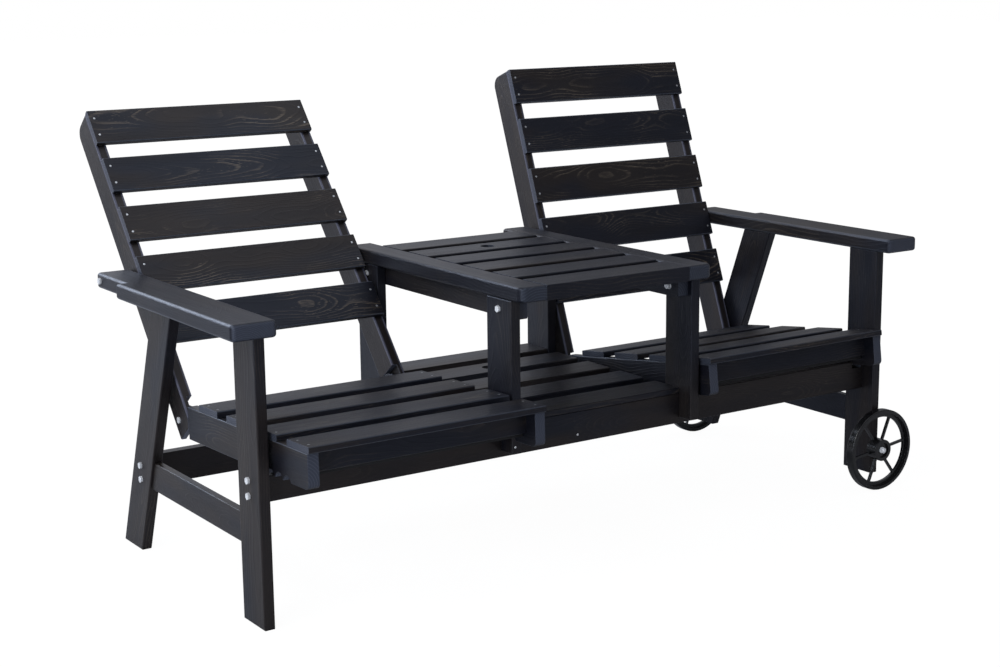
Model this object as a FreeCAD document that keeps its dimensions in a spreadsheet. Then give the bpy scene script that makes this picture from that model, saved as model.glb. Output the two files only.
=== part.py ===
import FreeCAD, Part
import math
import os

import Sketcher

# Companion bench: two reclining seats on one timber frame, joined by a small table.
# Every size is in millimetres. X runs along the bench, Y towards its back, Z up.
# The feature that needs most skill is the recline linkage: each back hangs on two pivot
# bolts and carries the rear of its seat, whose notched side rails ride on the front rail.

os.makedirs("parts", exist_ok=True)
doc = FreeCAD.newDocument("companion_bench")
Vector = FreeCAD.Vector

# Driving dimensions, one row each: alias, value, what it is

DIMENSIONS = [
    ("leg_outer", 850.0, "half the distance over the outer faces of the legs"),
    ("leg_thick", 24.0, "thickness of the leg boards"),
    ("leg_wide", 93.0, "width of the leg boards"),
    ("leg_lean", 21.3, "lean of the rear legs from upright, degrees"),
    ("leg_foot", 618.0, "front edge of a rear leg at the floor, behind the front legs' front"),
    ("heel_cut", 30.0, "plumb heel of the rear wheeled leg, in from its rear corner"),
    ("leg_short", 38.0, "height of the wheeled legs' ends above the floor"),
    ("arm_top", 633.0, "height of the arms and the table"),
    ("arm_thick", 34.0, "thickness of the arms and the table boards"),
    ("arm_wide", 96.5, "width of the arms"),
    ("arm_over", 65.5, "how far the arms stand out beyond the legs"),
    ("arm_front", 45.0, "how far the arms stand out in front of the legs"),
    ("arm_back", 684.0, "rear end of the arms"),
    ("arm_step_at", 518.0, "where the arms step in to their narrow rear end"),
    ("arm_step", 20.0, "depth of that step"),
    ("arm_corner", 10.0, "corner radius of the arms"),
    ("table_corner", 16.0, "corner radius of the table boards"),
    ("board_edge", 7.0, "edge rounding of the arms and table boards"),
    ("small_edge", 2.5, "edge rounding of the legs, rails and stiles"),
    ("rail_tall", 71.0, "height of the long rails"),
    ("rail_thick", 28.0, "thickness of the long rails"),
    ("rail_front_mid", 50.0, "centre of the front rail, behind the front legs' front"),
    ("rail_front_top", 322.0, "top of the front rail"),
    ("rail_rear_mid", 600.0, "centre of the rear rail, behind the front legs' front"),
    ("rail_rear_top", 226.0, "top of the rear rail"),
    ("side_engage", 10.6, "how far the seats' side rails reach below the top of the front rail"),
    ("housing_room", 7.1, "room below the side rails in the front rail's housings, for their dip in mid travel"),
    ("housing_side", 2.0, "side clearance of a seat's side rail in its housing"),
    ("stretcher_tall", 65.0, "height of the end stretchers"),
    ("stretcher_thick", 18.0, "thickness of the end stretchers"),
    ("stretcher_top", 222.0, "top of the end stretchers"),
    ("post_outer", 258.5, "half the distance over the table's posts"),
    ("post_thick", 24.0, "thickness of the posts"),
    ("post_lap", 56.0, "how far the posts' laps reach down over the long rails"),
    ("post_front", 7.0, "how far the front posts stand out in front of the legs"),
    ("post_rear_mid", 600.0, "centre of the rear posts, behind the front legs' front"),
    ("apron_tall", 46.0, "height of the table's aprons"),
    ("apron_bolt_up", 23.5, "post bolts above the aprons' lower edges"),
    ("apron_thick", 28.0, "thickness of the table's aprons"),
    ("apron_set", 14.0, "how far an apron's ends stand back from its posts' faces"),
    ("apron_corner", 6.0, "corner radius of an apron's lower ends"),
    ("table_outer", 260.0, "half the distance over the table's end boards"),
    ("table_board", 66.0, "width of the table's end boards"),
    ("table_front", 47.4, "how far the table stands out in front of the legs"),
    ("table_back", 692.0, "rear end of the table's end boards"),
    ("table_pitch", 118.6, "spacing of the table's slats"),
    ("batten_wide", 38.0, "width of the battens under the table's slats"),
    ("batten_thick", 12.0, "thickness of the battens under the table's slats"),
    ("batten_set", 75.0, "how far the battens' ends stand back from the table's ends"),
    ("slat_wide", 90.0, "width of every slat"),
    ("slat_thick", 14.0, "thickness of the seat, back and shelf slats"),
    ("slat_edge", 3.0, "edge rounding of the slats"),
    ("shelf_front", 34.0, "front edge of the shelf, behind the front legs' front"),
    ("shelf_pitch", 131.0, "spacing of the shelf's slats"),
    ("shelf_gap", 1.0, "gap between the shelf's slats and the posts"),
    ("hole_radius", 17.0, "radius of the parasol hole"),
    ("seat_side_gap", 10.0, "gap between a seat and the legs or posts beside it"),
    ("lap_gap", 0.4, "clearance between the halves of a lap joint"),
    ("lap_end", 2.0, "room between the end of a lapped piece and the shoulder of the other"),
    ("past", 5.0, "how far a cutting outline reaches past the wood"),
    ("pivot_at", 659.0, "pivot of the backs, behind the front legs' front"),
    ("pivot_sunk", 16.0, "pivot of the backs below the top of the arms"),
    ("pivot_slack", 0.3, "play beside a back at its pivot nuts and spacers"),
    ("pivot_front", 42.0, "pivot behind the front face of the back's slats"),
    ("pivot_down", 424.0, "pivot below the top of the back"),
    ("stile_wide", 71.0, "width of the back's stiles"),
    ("stile_thick", 24.0, "thickness of the stiles and of the seats' side rails"),
    ("stile_corner", 26.0, "rounding of a stile's upper rear corner"),
    ("stile_foot", 2.0, "rounding of a stile's lower rear corner"),
    ("stile_tail", 36.0, "stile below the seat's hinge"),
    ("back_pitch", 131.4, "spacing of the back's slats"),
    ("recline_upright", 20.2, "recline of the upright back, degrees"),
    ("recline_low", 39.3, "recline of the lowered back, degrees"),
    ("hinge_down", 352.0, "seat hinge below the back's pivot, along the stile"),
    ("hinge_back", 18.0, "seat hinge behind the back's pivot, square to the stile"),
    ("hinge_deep", 51.2, "seat hinge below the top of the seat's slats"),
    ("seat_long", 600.0, "front edge of the seat to its hinge"),
    ("seat_pitch", 134.5, "spacing of the seat's slats"),
    ("side_tall", 72.0, "height of the seats' side rails"),
    ("side_set", 7.0, "side rails' front ends behind the front edge of the seat"),
    ("side_tail", 30.0, "radius of a side rail's tail about the hinge"),
    ("side_corner", 12.0, "rounding of a side rail's lower front corner"),
    ("seat_apron_tall", 48.0, "height of a seat's front apron"),
    ("seat_apron_thick", 22.0, "thickness of a seat's front apron"),
    ("seat_apron_set", 40.0, "apron behind the front edge of the seat"),
    ("notch_radius", 15.0, "radius of the notches under the side rails"),
    ("notch_drop", 2.0, "centre of a notch below the side rail"),
    ("wheel_radius", 102.0, "radius of the wheels"),
    ("wheel_wide", 22.0, "width of the wheels"),
    ("wheel_slack", 0.3, "play of a wheel along its stud"),
    ("wheel_gap", 5.0, "gap between a wheel's rim and its leg"),
    ("tyre_thick", 9.0, "thickness of a wheel's tyre"),
    ("rim_deep", 19.0, "tread of a wheel to the inner edge of its rim"),
    ("rim_thick", 7.0, "thickness of a wheel's rim inside its tyre"),
    ("tread_edge", 3.0, "edge rounding of a wheel's tread"),
    ("wheel_root", 2.0, "how far the parts of a wheel grow into each other"),
    ("hub_radius", 27.0, "radius of a wheel's hub"),
    ("hub_stand", 4.0, "how far a hub stands out beyond the rim, each side"),
    ("dish_radius", 19.0, "radius of the dish in a hub's end"),
    ("dish_deep", 5.0, "depth of the dish in a hub's end"),
    ("spoke_wide", 6.0, "width of a spoke"),
    ("spoke_angle", 7.5, "angle of the first spoke, degrees"),
    ("axle_radius", 4.0, "radius of the axle studs"),
    ("axle_deep", 60.0, "depth of an axle stud in its leg"),
    ("running_gap", 0.05, "radial clearance of a bolt that turns in its hole"),
    ("bolt_radius", 4.0, "radius of the frame and pivot bolts"),
    ("bolt_head", 6.5, "half the width across flats of a bolt's head"),
    ("bolt_head_tall", 5.3, "height of a bolt's head"),
    ("bolt_pitch", 32.0, "spacing of the two bolts in a leg"),
    ("bolt_drop", 2.6, "middle of a leg's two bolts below the middle of its rail, clear of the housings"),
    ("bolt_forward", 4.0, "a leg's bolts in front of the middle of its rail"),
    ("bolt_deep", 50.0, "depth of a leg bolt in its rail"),
    ("hinge_radius", 4.0, "radius of the seats' hinge bolts"),
    ("hinge_head", 7.0, "radius of a hinge bolt's head"),
    ("hinge_head_tall", 3.2, "height of a hinge bolt's head"),
    ("nut_tall", 6.5, "height of a nut"),
    ("bolt_past", 3.0, "how far a bolt stands out of its nut"),
    ("washer_radius", 8.0, "radius of a washer"),
    ("washer_thick", 1.6, "thickness of a washer"),
    ("screw_radius", 2.8, "radius of a screw's head"),
    ("screw_tall", 1.8, "height of a screw's head"),
    ("screw_sink", 2.0, "depth of a screw's recess"),
    ("screw_gap", 0.1, "radial clearance of a screw's head in its recess"),
    ("screw_in", 12.0, "screws in from a slat's end"),
    ("screw_edge", 22.5, "screws in from a slat's edge"),
]

BACK_SLATS = 5
SEAT_SLATS = 4
TABLE_SLATS = 6
SHELF_SLATS = 5
HOLE_SLAT = 4
NOTCHES = 4
SPOKES = 6

sheet = doc.addObject("Spreadsheet::Sheet", "dims")
for row, (alias, amount, meaning) in enumerate(DIMENSIONS, start=1):
    sheet.set("A%d" % row, meaning)
    sheet.set("B%d" % row, str(amount))
    sheet.setAlias("B%d" % row, alias)
doc.recompute()


class Size:
    """A number together with the spreadsheet expression that gives it."""

    def __init__(self, value, text):
        self.value = value
        self.text = text

    def __add__(self, other):
        other = as_size(other)
        return Size(self.value + other.value, "(%s + %s)" % (self.text, other.text))

    def __radd__(self, other):
        return as_size(other) + self

    def __sub__(self, other):
        other = as_size(other)
        return Size(self.value - other.value, "(%s - %s)" % (self.text, other.text))

    def __rsub__(self, other):
        return as_size(other) - self

    def __mul__(self, other):
        other = as_size(other)
        return Size(self.value * other.value, "(%s * %s)" % (self.text, other.text))

    def __rmul__(self, other):
        return as_size(other) * self

    def __truediv__(self, other):
        other = as_size(other)
        return Size(self.value / other.value, "(%s / %s)" % (self.text, other.text))

    def __neg__(self):
        return Size(-self.value, "(0 - %s)" % self.text)


def as_size(number):
    if isinstance(number, Size):
        return number
    return Size(float(number), "(%r)" % float(number))


def sine(angle):
    return Size(math.sin(math.radians(angle.value)), "sin(%s)" % angle.text)


def cosine(angle):
    return Size(math.cos(math.radians(angle.value)), "cos(%s)" % angle.text)


def tangent(angle):
    return Size(math.tan(math.radians(angle.value)), "tan(%s)" % angle.text)


def root(number):
    return Size(math.sqrt(number.value), "sqrt(%s)" % number.text)


def angle_of(rise, run):
    value = math.degrees(math.atan2(rise.value, run.value))
    return Size(value, "atan2(%s; %s)" % (rise.text, run.text))


def angle_with_cosine(number):
    return Size(math.degrees(math.acos(number.value)), "acos(%s)" % number.text)


def dimension(alias):
    amounts = {name: amount for name, amount, meaning in DIMENSIONS}
    return Size(amounts[alias], "dims.%s" % alias)


def angle_dimension(alias):
    plain = dimension(alias)
    return Size(plain.value, "(%s * 1 deg)" % plain.text)


# Named places that several pieces share

leg_thick = dimension("leg_thick")
leg_wide = dimension("leg_wide")
leg_outer = dimension("leg_outer")
leg_inner = leg_outer - leg_thick
leg_lean = angle_dimension("leg_lean")
arm_thick = dimension("arm_thick")
arm_top = dimension("arm_top")
arm_under = arm_top - arm_thick
slat_wide = dimension("slat_wide")
slat_thick = dimension("slat_thick")
slat_edge = dimension("slat_edge")
rail_thick = dimension("rail_thick")
rail_tall = dimension("rail_tall")
rail_front_top = dimension("rail_front_top")
rail_front_face = dimension("rail_front_mid") - rail_thick / 2
rail_front_rear = dimension("rail_front_mid") + rail_thick / 2
rail_rear_top = dimension("rail_rear_top")
rail_rear_face = dimension("rail_rear_mid") - rail_thick / 2
rail_rear_rear = dimension("rail_rear_mid") + rail_thick / 2
post_outer = dimension("post_outer")
post_thick = dimension("post_thick")
post_inner = post_outer - post_thick
post_front = -dimension("post_front")
post_rear_front = dimension("post_rear_mid") - leg_wide / 2
post_rear_rear = dimension("post_rear_mid") + leg_wide / 2
stile_thick = dimension("stile_thick")
stile_wide = dimension("stile_wide")
lap_gap = dimension("lap_gap")
past = dimension("past")
bolt_radius = dimension("bolt_radius")
running_gap = dimension("running_gap")

# The seats fill the room between a leg and a post
seat_outer = leg_inner - dimension("seat_side_gap")
seat_inner = post_outer + dimension("seat_side_gap")
seat_width = seat_outer - seat_inner

# The backs' fixed pivot, in the arms and the table boards
pivot_y = dimension("pivot_at")
pivot_z = arm_top - dimension("pivot_sunk")

# In a back's own axes the pivot is the origin, Z runs up the stile and Y out of its rear
stile_front = slat_thick - dimension("pivot_front")
stile_rear = stile_front + stile_wide
back_top = dimension("pivot_down")
hinge_y = dimension("hinge_back")
hinge_z = -dimension("hinge_down")

# In a seat's own axes the hinge is the origin, Z is square to the slats and Y runs back
seat_top = dimension("hinge_deep")
side_top = seat_top - slat_thick
side_bottom = side_top - dimension("side_tall")
seat_front = -dimension("seat_long")

# The height at which the side rails' lower edges cross the front rail
side_level = rail_front_top - dimension("side_engage")
housing_deep = dimension("side_engage") + dimension("housing_room")


def hinge_place(recline):
    """Where the seat's hinge is, for a back at this recline."""
    y = pivot_y + hinge_y * cosine(recline) + hinge_z * sine(recline)
    z = pivot_z - hinge_y * sine(recline) + hinge_z * cosine(recline)
    return y, z


def seat_tilt(recline):
    """The tilt at which the side rails meet the front rail's rear face at their level."""
    y, z = hinge_place(recline)
    run = y - rail_front_rear
    rise = side_level - z
    reach = root(run * run + rise * rise)
    return angle_with_cosine(side_bottom / reach) - angle_of(run, rise)


def rail_along_seat(recline):
    """The front rail's centre, measured along the seat from its hinge."""
    y, z = hinge_place(recline)
    tilt = seat_tilt(recline)
    run = dimension("rail_front_mid") - y
    rise = side_level - z
    return run * cosine(tilt) - rise * sine(tilt)


UPRIGHT = angle_dimension("recline_upright")
LOW = angle_dimension("recline_low")
notch_front = rail_along_seat(UPRIGHT)
notch_rear = rail_along_seat(LOW)
notch_pitch = (notch_rear - notch_front) / (NOTCHES - 1)

# The row frame's origin is on the floor, under the middle of the whole bench
wheel_radius = dimension("wheel_radius")
wheel_x = leg_outer - leg_thick / 2
arm_outer = leg_outer + dimension("arm_over")
low_tilt = seat_tilt(LOW)
low_y, low_z = hinge_place(LOW)
front_most = (low_y + (seat_front + slat_edge) * cosine(low_tilt)
              + (side_top + slat_edge) * sine(low_tilt) - slat_edge)
stile_corner = dimension("stile_corner")
rear_most = (pivot_y + (stile_rear - stile_corner) * cosine(LOW)
             + (back_top - stile_corner) * sine(LOW) + stile_corner)
origin_x = (wheel_x + wheel_radius - arm_outer) / 2
origin_y = (front_most + rear_most) / 2


def bind(thing, path, amount):
    """Set a property from a size, through the spreadsheet."""
    thing.setExpression(path, as_size(amount).text)


def place(thing, x, y, z, tilt=None):
    """Put a piece at a point of the bench, turned about X so that it leans back by tilt."""
    if tilt is not None:
        thing.Placement = FreeCAD.Placement(Vector(), FreeCAD.Rotation(Vector(-1, 0, 0), tilt.value))
        bind(thing, "Placement.Rotation.Angle", tilt)
    bind(thing, "Placement.Base.x", as_size(x) - origin_x)
    bind(thing, "Placement.Base.y", as_size(y) - origin_y)
    bind(thing, "Placement.Base.z", z)


def new_body(name):
    body = doc.addObject("PartDesign::Body", name)
    body.Label = name
    return body


def datum(body, role):
    for feature in body.Origin.OriginFeatures:
        if feature.Role == role:
            return feature
    raise ValueError(role)


def new_sketch(body, name, role, offset=None):
    sketch = body.newObject("Sketcher::SketchObject", name)
    sketch.AttachmentSupport = [(datum(body, role), "")]
    sketch.MapMode = "FlatFace"
    if offset is not None:
        bind(sketch, "AttachmentOffset.Base.z", offset)
    return sketch


def pin_point(sketch, geometry, end, across, up, label):
    """Hold one point of a sketch at a place given by two sizes."""
    for kind, amount in (("DistanceX", as_size(across)), ("DistanceY", as_size(up))):
        constraint = Sketcher.Constraint(kind, -1, 1, geometry, end, amount.value)
        number = sketch.addConstraint(constraint)
        name = "%s_%s" % (label, kind[-1].lower())
        sketch.renameConstraint(number, name)
        bind(sketch, "Constraints." + name, amount)


def draw_outline(sketch, points, arcs=None):
    """Draw a closed outline. arcs maps an edge's number to its radius and bulge side."""
    arcs = arcs or {}
    places = [(as_size(across), as_size(up)) for across, up in points]
    flat = [Vector(across.value, up.value, 0) for across, up in places]
    count = len(flat)
    for number in range(count):
        start, end = flat[number], flat[(number + 1) % count]
        if number in arcs:
            radius, side = arcs[number]
            middle = (start + end) * 0.5
            chord = end - start
            height = math.sqrt(max(radius.value ** 2 - (chord.Length / 2) ** 2, 0))
            normal = Vector(-chord.y, chord.x, 0).normalize() * side
            top = middle + normal * (radius.value - height)
            sketch.addGeometry(Part.Arc(start, top, end), False)
        else:
            sketch.addGeometry(Part.LineSegment(start, end), False)
    ends = []
    for number in range(count):
        first = sketch.Geometry[number].StartPoint if number in arcs else flat[number]
        turned = (first - flat[number]).Length > 0.001
        ends.append((2, 1) if turned else (1, 2))
    for number in range(count):
        following = (number + 1) % count
        joint = Sketcher.Constraint("Coincident", number, ends[number][1], following, ends[following][0])
        sketch.addConstraint(joint)
    for number in range(count):
        pin_point(sketch, number, ends[number][0], places[number][0], places[number][1], "p%d" % number)
    for number, (radius, side) in arcs.items():
        added = sketch.addConstraint(Sketcher.Constraint("Radius", number, radius.value))
        sketch.renameConstraint(added, "r%d" % number)
        bind(sketch, "Constraints.r%d" % number, radius)


def draw_circle(sketch, across, up, radius, label="c"):
    number = sketch.addGeometry(Part.Circle(Vector(as_size(across).value, as_size(up).value, 0),
                                            Vector(0, 0, 1), as_size(radius).value), False)
    pin_point(sketch, number, 3, across, up, label)
    added = sketch.addConstraint(Sketcher.Constraint("Radius", number, as_size(radius).value))
    sketch.renameConstraint(added, label + "_r")
    bind(sketch, "Constraints.%s_r" % label, radius)


def pad(body, sketch, length, name="pad"):
    feature = body.newObject("PartDesign::Pad", name)
    feature.Profile = sketch
    bind(feature, "Length", length)
    body.Tip = feature
    doc.recompute()
    return feature


def cut(body, sketch, depth=None, backwards=False, name="cut"):
    """Cut a sketch through the body, or to a depth, and check that it took something."""
    before = body.Shape.Volume
    feature = body.newObject("PartDesign::Pocket", name)
    feature.Profile = sketch
    if depth is None:
        feature.Type = "ThroughAll"
        feature.Midplane = True
    else:
        bind(feature, "Length", depth)
    feature.Reversed = backwards
    body.Tip = feature
    doc.recompute()
    if not body.Shape.Volume < before:
        raise RuntimeError("%s %s took nothing" % (body.Label, name))
    return feature


def repeat(body, features, role, length, count, name="row"):
    """Repeat features in a row of the given whole length."""
    feature = body.newObject("PartDesign::LinearPattern", name)
    feature.Originals = features
    feature.Direction = (datum(body, role), [""])
    bind(feature, "Length", length)
    feature.Occurrences = count
    body.Tip = feature
    doc.recompute()
    return feature


def along(edge, axis):
    """Whether an edge is straight and runs along an axis."""
    if not isinstance(edge.Curve, Part.Line):
        return False
    return abs(edge.Curve.Direction.dot(axis)) > 0.9999


def round_edges(body, radius, chosen, name="rounding"):
    """Round the edges that chosen() picks."""
    base = body.Tip
    names = []
    for number, edge in enumerate(base.Shape.Edges, start=1):
        if chosen(edge):
            names.append("Edge%d" % number)
    if not names:
        raise RuntimeError("%s has no edge for %s" % (body.Label, name))
    feature = body.newObject("PartDesign::Fillet", name)
    feature.Base = (base, names)
    bind(feature, "Radius", radius)
    body.Tip = feature
    doc.recompute()
    return feature


X_AXIS = Vector(1, 0, 0)
Y_AXIS = Vector(0, 1, 0)
Z_AXIS = Vector(0, 0, 1)


def side_board(name, points, thick, arcs=None):
    """A board whose outline is seen from the bench's end, as thick as given along X."""
    body = new_body(name)
    sketch = new_sketch(body, name + "_outline", "YZ_Plane")
    draw_outline(sketch, points, arcs)
    pad(body, sketch, thick, name + "_pad")
    return body


def long_board(name, length, wide, tall, edge):
    """A board along X with rounded long edges, its lower front edge at the origin."""
    body = side_board(name, [(0, 0), (wide, 0), (wide, tall), (0, tall)], length)
    round_edges(body, edge, lambda e: along(e, X_AXIS), name + "_edges")
    return body


def outer_edges(edge):
    """The straight outline edges of a side board's two faces."""
    return isinstance(edge.Curve, Part.Line) and not along(edge, X_AXIS) and edge.Length > 30


small_edge = dimension("small_edge")
pieces = []


def keep(body):
    pieces.append(body)
    return body


# The legs: straight at the front, leaning at the rear, cut short on the wheeled side

def leaning_front(height):
    return dimension("leg_foot") - height * tangent(leg_lean)


leg_across = leg_wide / cosine(leg_lean)
wheel_face = leaning_front(dimension("leg_short")) + leg_across - dimension("heel_cut")


def leg_bolt_holes(body, rail_mid, rail_top_height):
    y = rail_mid - dimension("bolt_forward")
    middle = rail_top_height - rail_tall / 2 - dimension("bolt_drop")
    sketch = new_sketch(body, body.Name + "_bolt_holes", "YZ_Plane")
    draw_circle(sketch, y, middle + dimension("bolt_pitch") / 2, bolt_radius, "upper")
    draw_circle(sketch, y, middle - dimension("bolt_pitch") / 2, bolt_radius, "lower")
    cut(body, sketch, name=body.Name + "_bolts")


def front_leg(name, x, foot):
    points = [(0, foot), (leg_wide, foot), (leg_wide, arm_under), (0, arm_under)]
    body = side_board(name, points, leg_thick)
    round_edges(body, small_edge, outer_edges, name + "_edges")
    leg_bolt_holes(body, dimension("rail_front_mid"), rail_front_top)
    place(body, x, 0, 0)
    return keep(body)


def rear_leg(name, x, foot, flat_for_wheel):
    top = leaning_front(arm_under)
    front = leaning_front(foot)
    points = [(front, foot), (front + leg_across, foot), (top + leg_across, arm_under), (top, arm_under)]
    if flat_for_wheel:
        turn = (dimension("leg_foot") + leg_across - wheel_face) / tangent(leg_lean)
        points = [points[0], (wheel_face, foot), (wheel_face, turn), points[2], points[3]]
    body = side_board(name, points, leg_thick)
    round_edges(body, small_edge, outer_edges, name + "_edges")
    leg_bolt_holes(body, dimension("rail_rear_mid"), rail_rear_top)
    place(body, x, 0, 0)
    return keep(body)


leg_short = dimension("leg_short")
front_leg("leg_front_left", -leg_outer, as_size(0))
wheel_leg_front = front_leg("leg_front_right", leg_inner, leg_short)
rear_leg("leg_rear_left", -leg_outer, as_size(0), False)
wheel_leg_rear = rear_leg("leg_rear_right", leg_inner, leg_short, True)


def axle_hole(body, face, inwards):
    """The blind hole for an axle stud, drilled into the edge of a leg."""
    offset = face if inwards > 0 else face - dimension("axle_deep")
    sketch = new_sketch(body, body.Name + "_axle", "XZ_Plane", -(offset + dimension("axle_deep")))
    draw_circle(sketch, leg_thick / 2, wheel_radius, dimension("axle_radius"), "axle")
    cut(body, sketch, dimension("axle_deep"), True, body.Name + "_axle_hole")


axle_hole(wheel_leg_front, as_size(0), 1)
axle_hole(wheel_leg_rear, wheel_face, -1)

# The long rails, bolted between the legs


def long_rail(name, y, top):
    body = side_board(name, [(0, 0), (rail_thick, 0), (rail_thick, rail_tall), (0, rail_tall)], leg_inner * 2)
    round_edges(body, small_edge, lambda e: along(e, X_AXIS), name + "_edges")
    middle = rail_tall / 2 - dimension("bolt_drop")
    bolt_at = rail_thick / 2 - dimension("bolt_forward")
    for end, offset in (("left", as_size(0)), ("right", leg_inner * 2 - dimension("bolt_deep"))):
        sketch = new_sketch(body, name + "_holes_" + end, "YZ_Plane", offset)
        draw_circle(sketch, bolt_at, middle + dimension("bolt_pitch") / 2, bolt_radius, "upper")
        draw_circle(sketch, bolt_at, middle - dimension("bolt_pitch") / 2, bolt_radius, "lower")
        cut(body, sketch, dimension("bolt_deep"), True, name + "_bolts_" + end)
    place(body, -leg_inner, y, top - rail_tall)
    return keep(body)


front_rail = long_rail("rail_front", rail_front_face, rail_front_top)
long_rail("rail_rear", rail_rear_face, rail_rear_top)

# Housings in the front rail let the notched side rails of the seats pass
side_starts = [-seat_outer, -seat_inner - stile_thick, seat_inner, seat_outer - stile_thick]
housing_side = dimension("housing_side")
for number, start in enumerate(side_starts, start=1):
    low = start + leg_inner - housing_side
    high = low + stile_thick + housing_side * 2
    sketch = new_sketch(front_rail, "housing_%d_outline" % number, "XZ_Plane")
    floor = rail_tall - housing_deep
    draw_outline(sketch, [(low, floor), (high, floor), (high, rail_tall + past), (low, rail_tall + past)])
    cut(front_rail, sketch, name="housing_%d" % number)

# The end stretchers, cut to the lean of the rear legs
stretcher_top = dimension("stretcher_top")
stretcher_bottom = stretcher_top - dimension("stretcher_tall")
for side, x in (("left", -leg_inner - dimension("stretcher_thick")), ("right", leg_inner)):
    points = [(leg_wide, stretcher_bottom), (leaning_front(stretcher_bottom), stretcher_bottom),
              (leaning_front(stretcher_top), stretcher_top), (leg_wide, stretcher_top)]
    stretcher = side_board("stretcher_" + side, points, dimension("stretcher_thick"))
    round_edges(stretcher, small_edge, lambda e: along(e, Y_AXIS), "stretcher_edges_" + side)
    place(stretcher, x, 0, 0)
    keep(stretcher)

# The arms, narrowed on their outer side where the pivot bolts go in
arm_wide = dimension("arm_wide")
arm_inner = arm_outer - arm_wide
arm_front = -dimension("arm_front")
arm_back = dimension("arm_back")
arm_step_at = dimension("arm_step_at")
arm_corner = dimension("arm_corner")
board_edge = dimension("board_edge")


def corner_edges(places):
    """The upright edges that stand at any of the given places."""
    flat = [(as_size(x).value, as_size(y).value) for x, y in places]

    def chosen(edge):
        if not along(edge, Z_AXIS):
            return False
        at = edge.CenterOfMass
        return any(abs(at.x - x) < 0.5 and abs(at.y - y) < 0.5 for x, y in flat)

    return chosen


def face_edges(body, heights):
    """The edges that lie flat at any of the given heights."""
    flat = [as_size(height).value for height in heights]

    def chosen(edge):
        box = edge.BoundBox
        if box.ZLength > 0.01:
            return False
        return any(abs(box.ZMin - height) < 0.01 for height in flat)

    return chosen


def pivot_hole(body, x, y, length, radius):
    """A hole along X through a board whose lower face is at the origin's height."""
    sketch = new_sketch(body, body.Name + "_pivot", "YZ_Plane", x)
    draw_circle(sketch, y, pivot_z - arm_under, radius, "pivot")
    cut(body, sketch, length, True, body.Name + "_pivot_hole")


def arm(name, side):
    wide = arm_wide * side
    narrow = (arm_wide - dimension("arm_step")) * side
    body = new_body(name)
    sketch = new_sketch(body, name + "_outline", "XY_Plane")
    corners = [(0, arm_front), (wide, arm_front), (wide, arm_step_at), (narrow, arm_step_at),
               (narrow, arm_back), (0, arm_back)]
    draw_outline(sketch, corners)
    pad(body, sketch, arm_thick, name + "_pad")
    rounded = [corners[0], corners[1], corners[4]]
    round_edges(body, arm_corner, corner_edges(rounded), name + "_corners")
    round_edges(body, board_edge, face_edges(body, [0, arm_thick]), name + "_edges")
    start = as_size(0) if side > 0 else narrow
    pivot_hole(body, start, pivot_y, arm_wide - dimension("arm_step"), bolt_radius)
    place(body, arm_inner * side, 0, arm_under)
    return keep(body)


arm("arm_left", -1)
arm("arm_right", 1)

# The table's posts, lapped over the rails, and the aprons between them

apron_bolt_height = arm_under - dimension("apron_tall") + dimension("apron_bolt_up")


def post_bolt_hole(body, y):
    sketch = new_sketch(body, body.Name + "_bolt", "YZ_Plane")
    draw_circle(sketch, y, apron_bolt_height, bolt_radius, "bolt")
    cut(body, sketch, name=body.Name + "_bolt_hole")


post_front_mid = post_front + leg_wide / 2
rail_front_bottom = rail_front_top - rail_tall
front_lap_end = rail_front_top - dimension("post_lap")
rear_lap_end = rail_rear_top - dimension("post_lap")
front_post_points = [
    (post_front, front_lap_end), (rail_front_face, front_lap_end),
    (rail_front_face, rail_front_top), (post_front + leg_wide, rail_front_top),
    (post_front + leg_wide, arm_under), (post_front, arm_under)]
rear_post_points = [
    (rail_rear_rear, rear_lap_end), (post_rear_rear, rear_lap_end),
    (post_rear_rear, arm_under), (post_rear_front, arm_under),
    (post_rear_front, rail_rear_top), (rail_rear_rear, rail_rear_top)]
for side, x in (("left", -post_outer), ("right", post_inner)):
    for depth, points, middle in (("front", front_post_points, post_front_mid),
                                  ("rear", rear_post_points, dimension("post_rear_mid"))):
        post = side_board("post_%s_%s" % (depth, side), points, post_thick)
        round_edges(post, small_edge, outer_edges, "post_edges_%s_%s" % (depth, side))
        post_bolt_hole(post, middle)
        place(post, x, 0, 0)
        keep(post)

apron_thick = dimension("apron_thick")
apron_front = post_front + dimension("apron_set")
apron_rear = post_rear_rear - dimension("apron_set")
apron_bottom = arm_under - dimension("apron_tall")
for side, x in (("left", -post_inner), ("right", post_inner - apron_thick)):
    points = [(apron_front, apron_bottom), (apron_rear, apron_bottom), (apron_rear, arm_under),
              (apron_front, arm_under)]
    apron = side_board("apron_" + side, points, apron_thick)
    low_corners = lambda e: along(e, X_AXIS) and e.CenterOfMass.z < apron_bottom.value + 1
    round_edges(apron, dimension("apron_corner"), low_corners, "apron_corners_" + side)
    sketch = new_sketch(apron, "apron_bolts_%s_outline" % side, "YZ_Plane")
    draw_circle(sketch, post_front_mid, apron_bolt_height, bolt_radius, "front")
    draw_circle(sketch, dimension("post_rear_mid"), apron_bolt_height, bolt_radius, "rear")
    cut(apron, sketch, name="apron_bolts_" + side)
    place(apron, x, 0, 0)
    keep(apron)

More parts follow.
